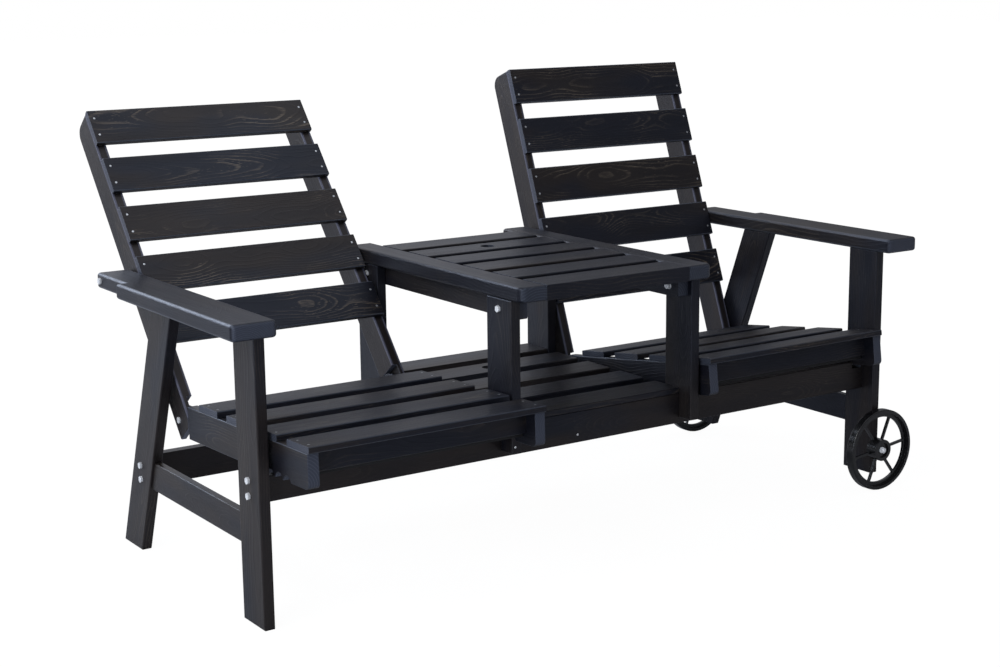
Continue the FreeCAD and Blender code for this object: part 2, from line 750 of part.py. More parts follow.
# The table: an end board on each side, slats between them and battens below
table_outer = dimension("table_outer")
table_board = dimension("table_board")
table_front = -dimension("table_front")
table_back = dimension("table_back")
table_pitch = dimension("table_pitch")
for side, sign in (("left", -1), ("right", 1)):
    name = "table_board_" + side
    board = new_body(name)
    sketch = new_sketch(board, name + "_outline", "XY_Plane")
    wide = table_board * sign
    corners = [(0, table_front), (wide, table_front), (wide, table_back), (0, table_back)]
    draw_outline(sketch, corners)
    pad(board, sketch, arm_thick, name + "_pad")
    round_edges(board, dimension("table_corner"), corner_edges([corners[1], corners[2]]), name + "_corners")
    round_edges(board, board_edge, face_edges(board, [0, arm_thick]), name + "_edges")
    start = as_size(0) if sign > 0 else wide
    pivot_hole(board, start, pivot_y, table_board, bolt_radius)
    place(board, (table_outer - table_board) * sign, 0, arm_under)
    keep(board)

table_span = (table_outer - table_board) * 2


def slat_row(name, length, tall, edge, steps, pitch, upright=False):
    """Slats along X in one node: one slat for each step, counted in pitches."""
    body = new_body(name)
    for step in steps:
        sketch = new_sketch(body, "%s_outline_%d" % (name, step), "YZ_Plane")
        start = pitch * step
        corners = [(start, 0), (start + slat_wide, 0), (start + slat_wide, tall), (start, tall)]
        if upright:
            corners = [(0, start), (tall, start), (tall, start + slat_wide), (0, start + slat_wide)]
        draw_outline(sketch, corners)
        pad(body, sketch, length, "%s_pad_%d" % (name, step))
    round_edges(body, edge, lambda e: along(e, X_AXIS), name + "_edges")
    return body


def drill_hole(body, length, y):
    """The parasol hole, in the middle of a slat's length."""
    sketch = new_sketch(body, body.Name + "_parasol", "XY_Plane")
    draw_circle(sketch, length / 2, y, dimension("hole_radius"), "hole")
    cut(body, sketch, name=body.Name + "_parasol_hole")


other_table_slats = [step for step in range(TABLE_SLATS) if step != HOLE_SLAT]
table_slats = slat_row("table_slats", table_span, arm_thick, slat_edge, other_table_slats, table_pitch)
place(table_slats, -table_span / 2, table_front, arm_under)
keep(table_slats)
table_hole_slat = slat_row("table_slat_hole", table_span, arm_thick, slat_edge, [0], table_pitch)
drill_hole(table_hole_slat, table_span, slat_wide / 2)
place(table_hole_slat, -table_span / 2, table_front + table_pitch * HOLE_SLAT, arm_under)
keep(table_hole_slat)

batten_thick = dimension("batten_thick")
apron_inner = post_inner - apron_thick
batten_wide = dimension("batten_wide")
batten_set = dimension("batten_set")
batten_long = table_pitch * (TABLE_SLATS - 1) + slat_wide - batten_set * 2
for side, x in (("left", -apron_inner), ("right", apron_inner - batten_wide)):
    points = [(0, 0), (batten_long, 0), (batten_long, batten_thick), (0, batten_thick)]
    batten = side_board("table_batten_" + side, points, batten_wide)
    place(batten, x, table_front + batten_set, arm_under - batten_thick)
    keep(batten)

# The shelf between the seats, on two bearers that run from the front rail to the rear posts
shelf_half = post_inner - dimension("shelf_gap")
shelf_pitch = dimension("shelf_pitch")
shelf_front = dimension("shelf_front")
other_shelf_slats = [step for step in range(SHELF_SLATS) if step != HOLE_SLAT - 1]
shelf_slats = slat_row("shelf_slats", shelf_half * 2, slat_thick, slat_edge, other_shelf_slats, shelf_pitch)
place(shelf_slats, -shelf_half, shelf_front, rail_front_top)
keep(shelf_slats)
shelf_hole_slat = slat_row("shelf_slat_hole", shelf_half * 2, slat_thick, slat_edge, [0], shelf_pitch)
drill_hole(shelf_hole_slat, shelf_half * 2, slat_wide / 2)
place(shelf_hole_slat, -shelf_half, shelf_front + shelf_pitch * (HOLE_SLAT - 1), rail_front_top)
keep(shelf_hole_slat)

for side, x in (("left", -post_inner), ("right", post_inner - leg_thick)):
    points = [(rail_front_rear, rail_front_bottom), (post_rear_rear, rail_front_bottom),
              (post_rear_rear, rail_front_top), (rail_front_rear, rail_front_top)]
    bearer = side_board("shelf_bearer_" + side, points, leg_thick)
    place(bearer, x, 0, 0)
    keep(bearer)

# Fasteners: each kind is one node, made of separate solids


def add_part(body, name, role, offset, shape, length):
    """Pad one profile of a fastener, from a plane at an offset."""
    sketch = new_sketch(body, name + "_profile", role, offset)
    shape(sketch)
    return pad(body, sketch, length, name)


def hexagon(y, z, flat_radius):
    """A hexagon with the given half width across flats, its corners up and down."""
    corner = flat_radius * (2 / math.sqrt(3))

    def shape(sketch):
        points = []
        for step in range(6):
            turn = math.radians(90 + 60 * step)
            points.append((y + corner * round(math.cos(turn), 9), z + corner * round(math.sin(turn), 9)))
        draw_outline(sketch, points)

    return shape


def disc(y, z, radius):
    def shape(sketch):
        draw_circle(sketch, y, z, radius, "disc")

    return shape


def cross_bolt(body, name, x_head, direction, reach, y, z, radius, head, head_tall):
    """A bolt along X: its head stands on the face at x_head, its shank runs inwards."""
    if direction > 0:
        add_part(body, name + "_head", "YZ_Plane", x_head - head_tall, head(y, z), head_tall)
        add_part(body, name + "_shank", "YZ_Plane", x_head, disc(y, z, radius), reach)
    else:
        add_part(body, name + "_head", "YZ_Plane", x_head, head(y, z), head_tall)
        add_part(body, name + "_shank", "YZ_Plane", x_head - reach, disc(y, z, radius), reach)


def hex_head(y, z):
    return hexagon(y, z, dimension("bolt_head"))


bolt_head_tall = dimension("bolt_head_tall")
washer_thick = dimension("washer_thick")
nut_tall = dimension("nut_tall")
bolt_past = dimension("bolt_past")
rail_ends = [("front", dimension("rail_front_mid"), rail_front_top),
             ("rear", dimension("rail_rear_mid"), rail_rear_top)]

leg_bolts = new_body("leg_bolts")
for side, direction in (("left", 1), ("right", -1)):
    for depth, rail_mid, rail_top_height in rail_ends:
        y = rail_mid - dimension("bolt_forward")
        middle = rail_top_height - rail_tall / 2 - dimension("bolt_drop")
        for level, sign in (("upper", 1), ("lower", -1)):
            z = middle + dimension("bolt_pitch") / 2 * sign
            cross_bolt(leg_bolts, "leg_bolt_%s_%s_%s" % (side, depth, level), -leg_outer * direction,
                       direction, leg_thick + dimension("bolt_deep"), y, z, bolt_radius,
                       hex_head, bolt_head_tall)
place(leg_bolts, 0, 0, 0)
keep(leg_bolts)

post_bolts = new_body("post_bolts")
post_nuts = new_body("post_nuts")
post_grip = post_thick + apron_thick
for side, direction in (("left", 1), ("right", -1)):
    for depth, y in (("front", post_front_mid), ("rear", dimension("post_rear_mid"))):
        tag = "%s_%s" % (side, depth)
        reach = post_grip + washer_thick + nut_tall + bolt_past
        cross_bolt(post_bolts, "post_bolt_" + tag, -post_outer * direction, direction, reach, y,
                   apron_bolt_height, bolt_radius, hex_head, bolt_head_tall)
        face = -(post_outer - post_grip) * direction
        for part, start, thick, shape in (
                ("washer", as_size(0), washer_thick, disc(y, apron_bolt_height, dimension("washer_radius"))),
                ("nut", washer_thick, nut_tall, hex_head(y, apron_bolt_height))):
            offset = face + start if direction > 0 else face - start - thick
            add_part(post_nuts, "post_%s_%s" % (part, tag), "YZ_Plane", offset, shape, thick)
bore = new_sketch(post_nuts, "post_nut_bores", "YZ_Plane")
for number, y in enumerate((post_front_mid, dimension("post_rear_mid"))):
    draw_circle(bore, y, apron_bolt_height, bolt_radius, "bore_%d" % number)
cut(post_nuts, bore, name="post_nut_bore")
place(post_bolts, 0, 0, 0)
place(post_nuts, 0, 0, 0)
keep(post_bolts)
keep(post_nuts)

# The pivot bolts carry the backs: one through each arm, one through each table board
pivot_bolts = new_body("pivot_bolts")
pivot_nuts = new_body("pivot_nuts")
arm_bolt_head = arm_outer - dimension("arm_step")
table_bolt_head = table_outer - table_board
pivot_slack = dimension("pivot_slack")
for side, sign in (("left", -1), ("right", 1)):
    for place_name, head_x, direction, near, far in (
            ("arm", arm_bolt_head, -1, seat_outer, arm_inner),
            ("table", table_bolt_head, 1, seat_inner, table_outer)):
        tag = "%s_%s" % (place_name, side)
        inner_face = near - stile_thick if direction < 0 else near + stile_thick
        reach = head_x - inner_face if direction < 0 else inner_face - head_x
        reach = reach + pivot_slack + nut_tall + bolt_past
        heading = direction * sign
        cross_bolt(pivot_bolts, "pivot_bolt_" + tag, head_x * sign, heading, reach, pivot_y, pivot_z,
                   bolt_radius, hex_head, bolt_head_tall)
        nut_start = (inner_face + pivot_slack * direction) * sign
        offset = nut_start if heading > 0 else nut_start - nut_tall
        add_part(pivot_nuts, "pivot_nut_" + tag, "YZ_Plane", offset, hex_head(pivot_y, pivot_z), nut_tall)
        low_x, high_x = (near, far) if direction < 0 else (far, near)
        spacer_long = high_x - low_x - pivot_slack
        spacer_start = low_x + pivot_slack if direction < 0 else low_x
        offset = spacer_start if sign > 0 else -(spacer_start + spacer_long)
        add_part(pivot_nuts, "pivot_spacer_" + tag, "YZ_Plane", offset,
                 disc(pivot_y, pivot_z, dimension("washer_radius")), spacer_long)
bore = new_sketch(pivot_nuts, "pivot_bore", "YZ_Plane")
draw_circle(bore, pivot_y, pivot_z, bolt_radius, "bore")
cut(pivot_nuts, bore, name="pivot_nut_bores")
place(pivot_bolts, 0, 0, 0)
place(pivot_nuts, 0, 0, 0)
keep(pivot_bolts)
keep(pivot_nuts)

# The backs: two stiles and five slats each, drawn about the pivot

hinge_radius = dimension("hinge_radius")
screw_in = dimension("screw_in")
screw_edge = dimension("screw_edge")
screw_radius = dimension("screw_radius")
screw_gap = dimension("screw_gap")
half_stile = stile_thick / 2


def stile(name, x, outer_is_low, recline):
    """A stile with its lap at the lower end. The outer half runs on to the seat's hinge."""
    round_end = hinge_y - stile_front
    tail = dimension("stile_tail")
    foot = dimension("stile_foot")
    bottom = hinge_z - tail
    start = hinge_y - root(round_end * round_end - tail * tail)
    points = [(stile_front, hinge_z), (start, bottom), (stile_rear - foot, bottom),
              (stile_rear, bottom + foot), (stile_rear, back_top - stile_corner),
              (stile_rear - stile_corner, back_top), (stile_front, back_top)]
    body = side_board(name, points, stile_thick, {0: (round_end, -1), 2: (foot, -1), 4: (stile_corner, -1)})
    rear = lambda e: (e.BoundBox.XLength < 0.01 and e.CenterOfMass.y > stile_front.value + 1
                      and e.CenterOfMass.z > hinge_z.value)
    round_edges(body, small_edge, rear, name + "_edges")
    sketch = new_sketch(body, name + "_holes", "YZ_Plane")
    draw_circle(sketch, 0, 0, bolt_radius + running_gap, "pivot")
    draw_circle(sketch, hinge_y, hinge_z, hinge_radius + running_gap, "hinge")
    cut(body, sketch, name=name + "_bolt_holes")
    shoulder = hinge_z + dimension("side_tail") + dimension("lap_end")
    offset = half_stile - lap_gap / 2 if outer_is_low else as_size(0)
    lap = new_sketch(body, name + "_lap_outline", "YZ_Plane", offset)
    draw_outline(lap, [(stile_front - past, bottom - past), (stile_rear + past, bottom - past),
                       (stile_rear + past, shoulder), (stile_front - past, shoulder)])
    cut(body, lap, half_stile + lap_gap / 2, True, name + "_lap")
    place(body, x, pivot_y, pivot_z, recline)
    return keep(body)


def screw_recesses(body, role, offset, backwards, count, pitch):
    """The recesses of the screws: two at each end of each slat in a row."""
    recess = new_sketch(body, body.Name + "_recess", role, offset)
    for end, x in (("a", screw_in), ("b", seat_width - screw_in)):
        for level, edge in (("low", screw_edge), ("high", slat_wide - screw_edge)):
            for step in range(count):
                label = "s_%s_%s_%d" % (end, level, step)
                draw_circle(recess, x, edge + pitch * step, screw_radius + screw_gap, label)
    cut(body, recess, dimension("screw_sink"), backwards, body.Name + "_recesses")


def screw_grid(name, role, x_axis_length, across_axis, rows, pitch):
    """Screw heads in a grid: two at each end of each slat."""
    body = new_body(name)
    heads = []
    for end, x in (("a", screw_in), ("b", x_axis_length - screw_in)):
        for level, edge in (("low", screw_edge), ("high", slat_wide - screw_edge)):
            sketch = new_sketch(body, "%s_%s_%s" % (name, end, level), role)
            draw_circle(sketch, x, edge, screw_radius, "head")
            heads.append(pad(body, sketch, dimension("screw_tall"), "%s_head_%s_%s" % (name, end, level)))
    if rows > 1:
        repeat(body, heads, across_axis, pitch * (rows - 1), rows, name + "_rows")
    return body


def back_part(body, x, recline, front):
    """Place a row of slats or screws, drawn from its lowest slat, on a back."""
    low = back_top - slat_wide - dimension("back_pitch") * (BACK_SLATS - 1)
    y = pivot_y + front * cosine(recline) + low * sine(recline)
    z = pivot_z - front * sine(recline) + low * cosine(recline)
    place(body, x, y, z, recline)
    return keep(body)


def back(side, low_x, recline):
    stile("back_%s_stile_a" % side, low_x, True, recline)
    stile("back_%s_stile_b" % side, low_x + seat_width - stile_thick, False, recline)
    pitch = dimension("back_pitch")
    slats = slat_row("back_%s_slats" % side, seat_width, slat_thick, slat_edge, range(BACK_SLATS), pitch, True)
    screw_recesses(slats, "XZ_Plane", None, False, BACK_SLATS, pitch)
    back_part(slats, low_x, recline, -dimension("pivot_front"))
    screws = screw_grid("back_%s_screws" % side, "XZ_Plane", seat_width, "Z_Axis", BACK_SLATS, pitch)
    back_part(screws, low_x, recline, dimension("screw_sink") - dimension("pivot_front"))


back("left", -seat_outer, LOW)
back("right", seat_inner, UPRIGHT)

# The seats: two notched side rails, four slats and an apron each, drawn about the hinge


def side_rail(name, x, outer_is_low, recline):
    front = seat_front + dimension("side_set")
    tail = dimension("side_tail")
    shoulder = -(hinge_y - stile_front) - dimension("lap_end")
    points = [(front, side_bottom), (shoulder, side_bottom), (shoulder, -tail), (0, -tail), (tail, 0),
              (0, tail), (shoulder, tail), (shoulder, side_top), (front, side_top)]
    body = side_board(name, points, stile_thick, {3: (tail, -1), 4: (tail, -1)})
    low_front = lambda e: (along(e, X_AXIS) and e.CenterOfMass.z < side_bottom.value + 1
                           and e.CenterOfMass.y < front.value + 1)
    round_edges(body, dimension("side_corner"), low_front, name + "_front")
    notch = new_sketch(body, name + "_notch_outline", "YZ_Plane")
    draw_circle(notch, notch_front, side_bottom - dimension("notch_drop"), dimension("notch_radius"), "notch")
    first = cut(body, notch, name=name + "_notch")
    repeat(body, [first], "Y_Axis", notch_pitch * (NOTCHES - 1), NOTCHES, name + "_notches")
    lengthwise = lambda e: along(e, Y_AXIS) and e.Length > 150
    round_edges(body, small_edge, lengthwise, name + "_edges")
    hole = new_sketch(body, name + "_hinge_outline", "YZ_Plane")
    draw_circle(hole, 0, 0, hinge_radius, "hinge")
    cut(body, hole, name=name + "_hinge")
    offset = as_size(0) if outer_is_low else half_stile - lap_gap / 2
    lap = new_sketch(body, name + "_lap_outline", "YZ_Plane", offset)
    draw_outline(lap, [(shoulder, side_bottom - past), (tail + past, side_bottom - past),
                       (tail + past, side_top + past), (shoulder, side_top + past)])
    cut(body, lap, half_stile + lap_gap / 2, True, name + "_lap")
    y, z = hinge_place(recline)
    place(body, x, y, z, seat_tilt(recline))
    return keep(body)


def seat_part(body, x, recline, y_local, z_local):
    """Place a piece that is drawn at its own corner into a seat's axes."""
    y, z = hinge_place(recline)
    tilt = seat_tilt(recline)
    place(body, x, y + y_local * cosine(tilt) + z_local * sine(tilt),
          z - y_local * sine(tilt) + z_local * cosine(tilt), tilt)
    return keep(body)


def hinge_bolts(name, x_low, x_high, recline):
    """A seat's two hinge bolts, with their nuts, drawn about the hinge."""
    body = new_body(name)
    head_tall = dimension("hinge_head_tall")
    slack = lap_gap / 2
    grip = stile_thick + slack
    for end, face, direction in (("a", as_size(0) - slack, 1), ("b", x_high - x_low + slack, -1)):
        head = lambda y, z: disc(y, z, dimension("hinge_head"))
        cross_bolt(body, "%s_%s" % (name, end), face, direction, grip + nut_tall + bolt_past, as_size(0),
                   as_size(0), hinge_radius, head, head_tall)
        nut = face + grip if direction > 0 else face - grip - nut_tall
        add_part(body, "%s_nut_%s" % (name, end), "YZ_Plane", nut, hex_head(as_size(0), as_size(0)), nut_tall)
    return seat_part(body, x_low, recline, as_size(0), as_size(0))


def seat(side, low_x, recline):
    side_rail("seat_%s_rail_a" % side, low_x, True, recline)
    side_rail("seat_%s_rail_b" % side, low_x + seat_width - stile_thick, False, recline)
    pitch = dimension("seat_pitch")
    name = "seat_%s_slats" % side
    slats = slat_row(name, seat_width, slat_thick, slat_edge, range(SEAT_SLATS), pitch)
    screw_recesses(slats, "XY_Plane", slat_thick - dimension("screw_sink"), True, SEAT_SLATS, pitch)
    seat_part(slats, low_x, recline, seat_front, side_top)
    screws = screw_grid("seat_%s_screws" % side, "XY_Plane", seat_width, "Y_Axis", SEAT_SLATS, pitch)
    seat_part(screws, low_x, recline, seat_front, seat_top - dimension("screw_sink"))
    apron_name = "seat_%s_apron" % side
    board = long_board(apron_name, seat_width - stile_thick * 2, dimension("seat_apron_thick"),
                       dimension("seat_apron_tall"), small_edge)
    seat_part(board, low_x + stile_thick, recline, seat_front + dimension("seat_apron_set"),
              side_top - dimension("seat_apron_tall"))
    hinge_bolts("seat_%s_hinge_bolts" % side, low_x, low_x + seat_width, recline)


seat("left", -seat_outer, LOW)
seat("right", seat_inner, UPRIGHT)

# The wheels turn about Y on studs in the short legs

wheel_wide = dimension("wheel_wide")
hub_stand = dimension("hub_stand")
hub_radius = dimension("hub_radius")
tyre_inner = wheel_radius - dimension("tyre_thick")
rim_inner = wheel_radius - dimension("rim_deep")
wheel_root = dimension("wheel_root")
axle_radius = dimension("axle_radius")
dish_deep = dimension("dish_deep")


def wheel(name, y):
    body = new_body(name)
    sketch = new_sketch(body, name + "_tyre_outline", "XZ_Plane", -wheel_wide)
    draw_circle(sketch, 0, 0, wheel_radius, "tread")
    draw_circle(sketch, 0, 0, tyre_inner, "inside")
    pad(body, sketch, wheel_wide, name + "_tyre")
    tread = lambda e: (isinstance(e.Curve, Part.Circle) and e.Curve.Radius > wheel_radius.value - 0.1
                       and not along(e, Y_AXIS))
    round_edges(body, dimension("tread_edge"), tread, name + "_tread")
    rim_thick = dimension("rim_thick")
    sketch = new_sketch(body, name + "_rim_outline", "XZ_Plane", -wheel_wide / 2 - rim_thick / 2)
    draw_circle(sketch, 0, 0, tyre_inner + wheel_root, "outside")
    draw_circle(sketch, 0, 0, rim_inner, "inside")
    pad(body, sketch, rim_thick, name + "_rim")
    sketch = new_sketch(body, name + "_spoke_outline", "XZ_Plane", -wheel_wide / 2 - dimension("spoke_wide") / 2)
    spoke_turn = angle_dimension("spoke_angle")
    near = hub_radius - wheel_root
    far = rim_inner + wheel_root
    half = dimension("spoke_wide") / 2
    points = []
    for reach, across in ((near, -half), (far, -half), (far, half), (near, half)):
        points.append((reach * cosine(spoke_turn) - across * sine(spoke_turn),
                       reach * sine(spoke_turn) + across * cosine(spoke_turn)))
    draw_outline(sketch, points)
    spoke = pad(body, sketch, dimension("spoke_wide"), name + "_spoke")
    polar = body.newObject("PartDesign::PolarPattern", name + "_spokes")
    polar.Originals = [spoke]
    polar.Axis = (datum(body, "Y_Axis"), [""])
    polar.Angle = 360
    polar.Occurrences = SPOKES
    body.Tip = polar
    doc.recompute()
    sketch = new_sketch(body, name + "_hub_outline", "XZ_Plane", -wheel_wide - hub_stand)
    draw_circle(sketch, 0, 0, hub_radius, "hub")
    pad(body, sketch, wheel_wide + hub_stand * 2, name + "_hub")
    for end, face, backwards in (("front", hub_stand, False), ("rear", -wheel_wide - hub_stand, True)):
        sketch = new_sketch(body, "%s_dish_outline_%s" % (name, end), "XZ_Plane", face)
        draw_circle(sketch, 0, 0, dimension("dish_radius"), "dish")
        cut(body, sketch, dish_deep, backwards, "%s_dish_%s" % (name, end))
    sketch = new_sketch(body, name + "_bore_outline", "XZ_Plane")
    draw_circle(sketch, 0, 0, axle_radius + running_gap, "bore")
    cut(body, sketch, name=name + "_bore")
    place(body, wheel_x, y, wheel_radius)
    return keep(body)


wheel_gap = dimension("wheel_gap")
wheel_front_y = -wheel_gap - wheel_wide
wheel_rear_y = wheel_face + wheel_gap
wheel("wheel_front", wheel_front_y)
wheel("wheel_rear", wheel_rear_y)

axles = new_body("axle_studs")
axle_nuts = new_body("axle_nuts")
stud_reach = wheel_gap + wheel_wide + hub_stand - dish_deep + washer_thick + nut_tall + bolt_past
wheel_slack = dimension("wheel_slack")
front_studs = -stud_reach
rear_studs = wheel_face - dimension("axle_deep")
stud_long = stud_reach + dimension("axle_deep")
for tag, start in (("front", front_studs), ("rear", rear_studs)):
    add_part(axles, "axle_" + tag, "XZ_Plane", -(start + stud_long), disc(wheel_x, wheel_radius, axle_radius),
             stud_long)
front_washer = wheel_front_y - hub_stand + dish_deep - wheel_slack - washer_thick
rear_washer = wheel_rear_y + wheel_wide + hub_stand - dish_deep + wheel_slack
for tag, washer, nut in (("front", front_washer, front_washer - nut_tall),
                         ("rear", rear_washer, rear_washer + washer_thick)):
    add_part(axle_nuts, "axle_washer_" + tag, "XZ_Plane", -(washer + washer_thick),
             disc(wheel_x, wheel_radius, dimension("washer_radius")), washer_thick)
    add_part(axle_nuts, "axle_nut_" + tag, "XZ_Plane", -(nut + nut_tall),
             hexagon(wheel_x, wheel_radius, dimension("bolt_head")), nut_tall)
bore = new_sketch(axle_nuts, "axle_nut_bore_outline", "XZ_Plane")
draw_circle(bore, wheel_x, wheel_radius, axle_radius, "bore")
cut(axle_nuts, bore, name="axle_nut_bores")
place(axles, 0, 0, 0)
place(axle_nuts, 0, 0, 0)
keep(axles)
keep(axle_nuts)

# Check every piece and write one file for each

doc.recompute()
for thing in doc.Objects:
    states = [str(word) for word in thing.State]
    if any(word in ("Invalid", "Error") for word in states):
        raise RuntimeError("%s is %s" % (thing.Name, states))
for piece in pieces:
    shape = piece.Shape
    if shape.isNull() or not shape.isValid() or not shape.Solids:
        faults = [part.Name for part in piece.Group if not part.Shape.isValid()]
        raise RuntimeError("%s has no valid solid: %s" % (piece.Label, faults))
    shape.exportStep("parts/%s.step" % piece.Label)
whole = FreeCAD.BoundBox()
for piece in pieces:
    for corner in piece.Shape.tessellate(0.1)[0]:
        whole.add(corner)
print("pieces", len(pieces), "solids", sum(len(piece.Shape.Solids) for piece in pieces))
print("box", whole)
low_seat, upright_seat = seat_tilt(LOW), seat_tilt(UPRIGHT)
print("seat tilts", round(low_seat.value, 4), round(upright_seat.value, 4))
print("pivot", round((pivot_y - origin_y).value, 3), round(pivot_z.value, 3))
for label, recline in (("left", LOW), ("right", UPRIGHT)):
    y, z = hinge_place(recline)
    print("hinge", label, round((y - origin_y).value, 3), round(z.value, 3))
    along_seat = seat_front + dimension("seat_pitch") + slat_wide / 2
    tilt = seat_tilt(recline)
    top_y = y + along_seat * cosine(tilt) + seat_top * sine(tilt) - origin_y
    top_z = z - along_seat * sine(tilt) + seat_top * cosine(tilt)
    print("second seat slat", label, round(top_y.value, 4), round(top_z.value, 4), round(tilt.value, 4))
print("wheels", round((wheel_front_y + wheel_wide / 2 - origin_y).value, 3),
      round((wheel_rear_y + wheel_wide / 2 - origin_y).value, 3))
print("origin", round(origin_x.value, 3), round(origin_y.value, 3))
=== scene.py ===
import math

import bmesh
import bpy
import numpy as np
from mathutils import Matrix, Vector


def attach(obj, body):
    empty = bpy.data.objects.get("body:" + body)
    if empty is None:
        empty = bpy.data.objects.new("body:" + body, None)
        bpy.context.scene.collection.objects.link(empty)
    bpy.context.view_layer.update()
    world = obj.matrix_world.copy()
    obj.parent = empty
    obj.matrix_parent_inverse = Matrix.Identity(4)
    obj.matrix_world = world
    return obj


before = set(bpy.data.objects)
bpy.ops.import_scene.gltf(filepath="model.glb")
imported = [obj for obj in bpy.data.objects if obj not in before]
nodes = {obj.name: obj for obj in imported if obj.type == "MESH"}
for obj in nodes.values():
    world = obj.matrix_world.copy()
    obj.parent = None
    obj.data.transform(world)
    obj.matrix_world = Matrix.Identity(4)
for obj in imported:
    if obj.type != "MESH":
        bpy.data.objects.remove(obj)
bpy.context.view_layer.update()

# The frame's timber
# Planed softwood, dipped in a blue-black stain. The late wood takes less of it, so fine brown
# growth lines show in patches. Every eased edge is painted paler, partly as wear and partly as a
# painted highlight.


def add(tree, kind, inputs=None, **settings):
    """Add a shader node, set its properties and its inputs by name or number."""
    made = tree.nodes.new(kind)
    for name, value in settings.items():
        setattr(made, name, value)
    for name, value in (inputs or {}).items():
        if isinstance(value, bpy.types.NodeSocket):
            tree.links.new(value, made.inputs[name])
        else:
            made.inputs[name].default_value = value
    return made


def calc(tree, operation, *values, clamp=False):
    """One step of arithmetic on numbers or sockets."""
    inputs = dict(enumerate(values))
    return add(tree, "ShaderNodeMath", inputs, operation=operation, use_clamp=clamp).outputs[0]


def dot(tree, first, second):
    inputs = {0: first, 1: second}
    return add(tree, "ShaderNodeVectorMath", inputs, operation="DOT_PRODUCT").outputs["Value"]


def vector(tree, x, y, z):
    return add(tree, "ShaderNodeCombineXYZ", {0: x, 1: y, 2: z}).outputs[0]


def noise(tree, where, scale, detail=3.0, rough=0.5):
    inputs = {"Vector": where, "Scale": scale, "Detail": detail, "Roughness": rough}
    return add(tree, "ShaderNodeTexNoise", inputs).outputs["Fac"]


def ramp(tree, value, low, high, start=0.0, end=1.0):
    inputs = {0: value, 1: low, 2: high, 3: start, 4: end}
    return add(tree, "ShaderNodeMapRange", inputs, interpolation_type="SMOOTHSTEP").outputs[0]


def blend_colour(tree, share, first, second):
    made = tree.nodes.new("ShaderNodeMix")
    made.data_type = "RGBA"
    for socket, value in ((made.inputs[0], share), (made.inputs[6], first), (made.inputs[7], second)):
        if isinstance(value, bpy.types.NodeSocket):
            tree.links.new(value, socket)
        else:
            socket.default_value = value
    return made.outputs[2]


def stretched(tree, *parts):
    """A vector of three parts. Each is a socket, or a pair of a socket and its multiplier."""
    sockets = [calc(tree, "MULTIPLY", *part) if isinstance(part, tuple) else part for part in parts]
    return vector(tree, *sockets)


def blank_material(name):
    material = bpy.data.materials.new(name)
    material.use_nodes = True
    material.node_tree.nodes.clear()
    return material


def close_tree(tree, shader, kind="ShaderNodeOutputMaterial"):
    """Lead the last shader to the tree's output."""
    tree.links.new(shader, add(tree, kind).inputs[0])


def dress(name, material):
    """Give a CAD node its material in place of the frame's own."""
    nodes[name].data.materials.clear()
    nodes[name].data.materials.append(material)


